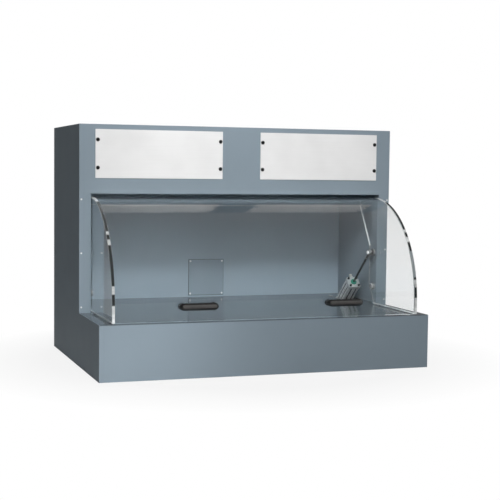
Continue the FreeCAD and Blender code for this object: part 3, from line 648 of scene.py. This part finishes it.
def hood_side(node):
    """One flat side: an outline with its bush hole, given thickness and borders painted bright
    as gathered light.
    """
    low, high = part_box(node)
    shape = bmesh.new()
    hood_arc(shape, [shape.verts.new((low.x, low.y, hood_arc_centre_z))], low.x)
    ends = [vert for vert in shape.verts if len(vert.link_edges) == 1]
    front_top, rear_top = sorted(ends, key=lambda vert: vert.co.y)
    corners = [(low.y, low.z), (hood_heel_front_y, low.z),
               (hood_notch_y, hood_heel_rear_z), (hood_notch_y, hood_notch_z)]
    outline = [front_top, *(shape.verts.new((low.x, y, z)) for y, z in corners), rear_top]
    for start, end in zip(outline, outline[1:]):
        shape.edges.new((start, end))
    turn = Matrix.Rotation(quarter_turn, 4, "Y")
    bmesh.ops.create_circle(shape, cap_ends=False, radius=bush_hole_radius,
                            segments=bush_hole_steps,
                            matrix=Matrix.Translation((low.x, pivot_y, pivot_z)) @ turn)
    bmesh.ops.triangle_fill(shape, use_beauty=True, edges=shape.edges[:])
    inner = [edge for edge in shape.edges if len(edge.link_faces) == 2]
    bmesh.ops.dissolve_limit(shape, angle_limit=flat_angle, verts=[], edges=inner)
    thicken(shape, (high.x - low.x, 0.0, 0.0))
    flats = [face for face in shape.faces if abs(face.normal.x) > square_on]
    # Edge faces take the rim finishes of painted light, and a border strip round each flat
    # face takes them too.
    for face in shape.faces:
        if face not in flats:
            face.material_index = 2 if depth_in_hood(face) < polished_edge else 1
    borders = bmesh.ops.inset_region(shape, faces=flats, thickness=glow_border_width,
                                     use_boundary=True, use_even_offset=True)["faces"]
    for face in borders:
        face.material_index = 1
    polish_edges(shape)
    return shape


# Grip handles
def widen(shape, edge, times, fixed_x):
    bmesh.ops.scale(shape, verts=edge.verts, vec=(times, 1.0, 1.0),
                    space=Matrix.Translation((-fixed_x, 0.0, 0.0)))


def turned(shape, edge, centre):
    """The edge drawn round a quarter turn about an upright axis."""
    items = [*edge.verts, edge]
    return far_edge(swept(shape, items, centre, upright, quarter_turn, handle_turn_steps))


def handle_bow(low, high):
    """The bow from above: one edge drawn from a foot, round a turn, along the bar and back."""
    outer_turn = handle_bar_depth + handle_turn_radius
    straight = high.y - low.y - outer_turn
    squeeze = handle_bar_depth / handle_foot_width
    foot = (low.x, low.x + handle_foot_width)
    shape = bmesh.new()
    edge = shape.edges.new([shape.verts.new((x, high.y, low.z)) for x in foot])
    edge = pushed(shape, edge, (0.0, -straight, 0.0))
    widen(shape, edge, squeeze, low.x)
    edge = turned(shape, edge, (low.x + outer_turn, low.y + outer_turn, 0.0))
    edge = pushed(shape, edge, (high.x - low.x - 2.0 * outer_turn, 0.0, 0.0))
    edge = turned(shape, edge, (high.x - outer_turn, low.y + outer_turn, 0.0))
    edge = pushed(shape, edge, (0.0, straight, 0.0))
    widen(shape, edge, 1.0 / squeeze, high.x)
    weld(shape)
    return shape


def crown_front(shape, low, high):
    """Bends the bar's front back towards its upper and lower edges."""
    height = high.z - low.z
    middle = (low + high) / 2
    for step in range(1, handle_crown_steps):
        cut(shape, (0.0, 0.0, low.z + height * step / handle_crown_steps), upright)
    for vert in shape.verts:
        share = max(1.0 - (vert.co.y - low.y) / handle_bar_depth, 0.0)
        rise = (vert.co.z - middle.z) / (height / 2)
        vert.co.y += handle_front_crown * share * rise ** 2


def round_ends(shape, low, high):
    """Draws the handle's height in towards its two ends, to a rounded outline."""
    middle = (low + high) / 2
    half_length = (high.x - low.x) / 2 - handle_end_tip
    for end in (-1.0, 1.0):
        for step in range(handle_end_steps):
            turn = (step + 0.5) / handle_end_steps * quarter_turn
            reach = half_length - handle_end_round * (1.0 - math.sin(turn))
            cut(shape, (middle.x + end * reach, 0.0, 0.0), sideways)
    for vert in shape.verts:
        past = abs(vert.co.x - middle.x) - (half_length - handle_end_round)
        past = max(past / handle_end_round, 0.0)
        share = math.sqrt(max(1.0 - past ** 2, handle_end_share ** 2))
        vert.co.z = middle.z + (vert.co.z - middle.z) * share


def grip_handle(node):
    """A bow handle with rounded edges, a crowned front and rounded ends."""
    low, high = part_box(node)
    shape = handle_bow(low, high)
    thicken(shape, (0.0, 0.0, high.z - low.z))
    seat_y = high.y - weld_distance
    rims = [edge for edge in corner_edges(shape)
            if any(vert.co.y < seat_y for vert in edge.verts)]
    round_edges(shape, rims, handle_edge_round, handle_edge_steps)
    crown_front(shape, low, high)
    round_ends(shape, low, high)
    face_outwards(shape)
    return shape


# Access plate
def access_plate():
    """A plate with a broken edge all round its front, its edge faces painted dark as shade
    lines.
    """
    low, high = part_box("wall_plate")
    shape = bmesh.new()
    bmesh.ops.create_cube(shape, size=1.0)
    bmesh.ops.scale(shape, verts=shape.verts, vec=high - low)
    bmesh.ops.translate(shape, verts=shape.verts, vec=(low + high) / 2)
    front = [edge for edge in shape.edges
             if all(abs(vert.co.y - low.y) < weld_distance for vert in edge.verts)]
    round_edges(shape, front, access_plate_edge, access_plate_edge_steps)
    # Edge faces take the dark finish: painted shade lines round the plate.
    for face in shape.faces:
        face.material_index = 0 if abs(face.normal.y) > square_on else 1
    return shape


# New pieces
new_piece("access_wall_plate", access_plate(), [wall_plate_paint, plate_edge_shade],
          "cabinet", ["wall_plate"])
new_piece("clear_front_sheet", hood_front_sheet(), [acrylic, straight_rim],
          "hood", ["hood_front_sheet"])
for side in ("left", "right"):
    new_piece(f"clear_{side}_side", hood_side(f"hood_{side}_side"),
              [acrylic, straight_rim, curved_rim],
              "hood", [f"hood_{side}_side"])
    new_piece(f"{side}_grip_handle", grip_handle(f"{side}_handle"), [handle_plastic],
              "hood", [f"{side}_handle"], handle_sharp_degrees)


# Floor, light and camera
def clear_sight(tree, path):
    """One for rays that have met nothing but clear sheet on their way from the camera."""
    met = tree.combine("ADD", path["Diffuse Depth"], path["Glossy Depth"])
    unmet = tree.combine("LESS_THAN", met, first_hit)
    straight = tree.combine("MAXIMUM", path["Is Camera Ray"], path["Is Transmission Ray"])
    return tree.combine("MULTIPLY", straight, unmet)


def studio_floor():
    """A pale floor that keeps the object's shadow and runs out into white."""
    shape = bmesh.new()
    bmesh.ops.create_grid(shape, x_segments=1, y_segments=1, size=floor_half_size)
    mesh = bpy.data.meshes.new("studio_floor")
    shape.to_mesh(mesh)
    shape.free()
    finish = Finish("pale_floor")
    finish.colour(finish.tint(finish.patches(scale=1.5), floor_dark, floor_light))
    finish.set(Roughness=0.9, Specular_IOR_Level=0.0)
    seen = clear_sight(finish, finish.add("ShaderNodeLightPath").outputs)
    distance = finish.measure("LENGTH", finish.place)
    share = finish.spread(distance, floor_glow_near, 1.0, *floor_fade_span)
    glow = finish.add("ShaderNodeEmission")
    finish.choose(finish.combine("MULTIPLY", seen, share), glow.outputs["Emission"])
    mesh.materials.append(finish.material)
    floor = bpy.data.objects.new("studio_floor", mesh)
    scene.collection.objects.link(floor)


def studio_world():
    """White behind the object, even light round it, and in its gloss a dim room and a lamp."""
    world = bpy.data.worlds.new("studio_white")
    scene.world = world
    world.use_nodes = True
    tree = NodeTools(world.node_tree)
    background = world.node_tree.nodes["Background"]
    path = tree.add("ShaderNodeLightPath").outputs
    look = tree.add("ShaderNodeTexCoord").outputs["Generated"]
    room = tree.spread(tree.part(look, "X"), gloss_room, gloss_right, *gloss_right_span)
    above = tree.spread(tree.part(look, "Z"), 0.0, gloss_above, *gloss_above_span)
    near_key = tree.measure("DOT_PRODUCT", look, (key_place - object_middle).normalized())
    lamp = tree.spread(near_key, 0.0, gloss_lamp, *gloss_lamp_span, kind="SMOOTHSTEP")
    glow = tree.combine("ADD", lamp, above)
    glow = tree.combine("MULTIPLY", glow, path["Is Glossy Ray"])
    gloss = tree.combine("ADD", room, glow)
    undiffused = tree.combine("LESS_THAN", path["Diffuse Depth"], first_hit)
    strength = tree.blend(undiffused, ambient_light, gloss)
    strength = tree.blend(clear_sight(tree, path), strength, 1.0)
    tree.join(strength, background.inputs["Strength"])
    background.inputs["Color"].default_value = (1.0, 1.0, 1.0, 1.0)


def soft_lamp(name, place, aim, size, power, beam):
    """An area lamp that fades from its middle to its edges."""
    data = bpy.data.lights.new(name, "AREA")
    data.shape = "RECTANGLE"
    data.size, data.size_y = size
    data.energy = power * lamp_fade_gain
    data.spread = math.radians(beam)
    data.use_nodes = True
    tree = NodeTools(data.node_tree)
    spot = tree.add("ShaderNodeNewGeometry").outputs["Parametric"]
    out = tree.measure("DISTANCE", spot, lamp_middle)
    fade = tree.spread(out, 1.0, 0.0, *lamp_fade_span)
    tree.join(fade, data.node_tree.nodes["Emission"].inputs["Strength"])
    lamp = bpy.data.objects.new(name, data)
    lamp.location = place
    lamp.rotation_euler = (aim - place).to_track_quat("-Z", "Y").to_euler()
    lamp.visible_glossy = False
    scene.collection.objects.link(lamp)


def photograph_camera():
    """The camera where the photograph was taken, from its yaw, pitch and roll."""
    data = bpy.data.cameras.new("photograph_camera")
    data.sensor_width = sensor_width
    data.lens = focal_pixels / picture_size * sensor_width
    camera = bpy.data.objects.new("photograph_camera", data)
    level = Vector((math.cos(camera_yaw), -math.sin(camera_yaw), 0.0))
    ahead = Vector((math.sin(camera_yaw), math.cos(camera_yaw), 0.0))
    up = Vector(upright)
    sight = ahead * math.cos(camera_pitch) + up * math.sin(camera_pitch)
    lifted = up * math.cos(camera_pitch) - ahead * math.sin(camera_pitch)
    right = level * math.cos(camera_roll) + lifted * math.sin(camera_roll)
    top = lifted * math.cos(camera_roll) - level * math.sin(camera_roll)
    turn = Matrix((right, top, -sight)).transposed().to_4x4()
    camera.matrix_world = Matrix.Translation(camera_place) @ turn
    scene.collection.objects.link(camera)
    scene.camera = camera


studio_floor()
studio_world()
for name, values in lamps.items():
    soft_lamp(name, **values)
photograph_camera()
scene.view_settings.view_transform = "Standard"
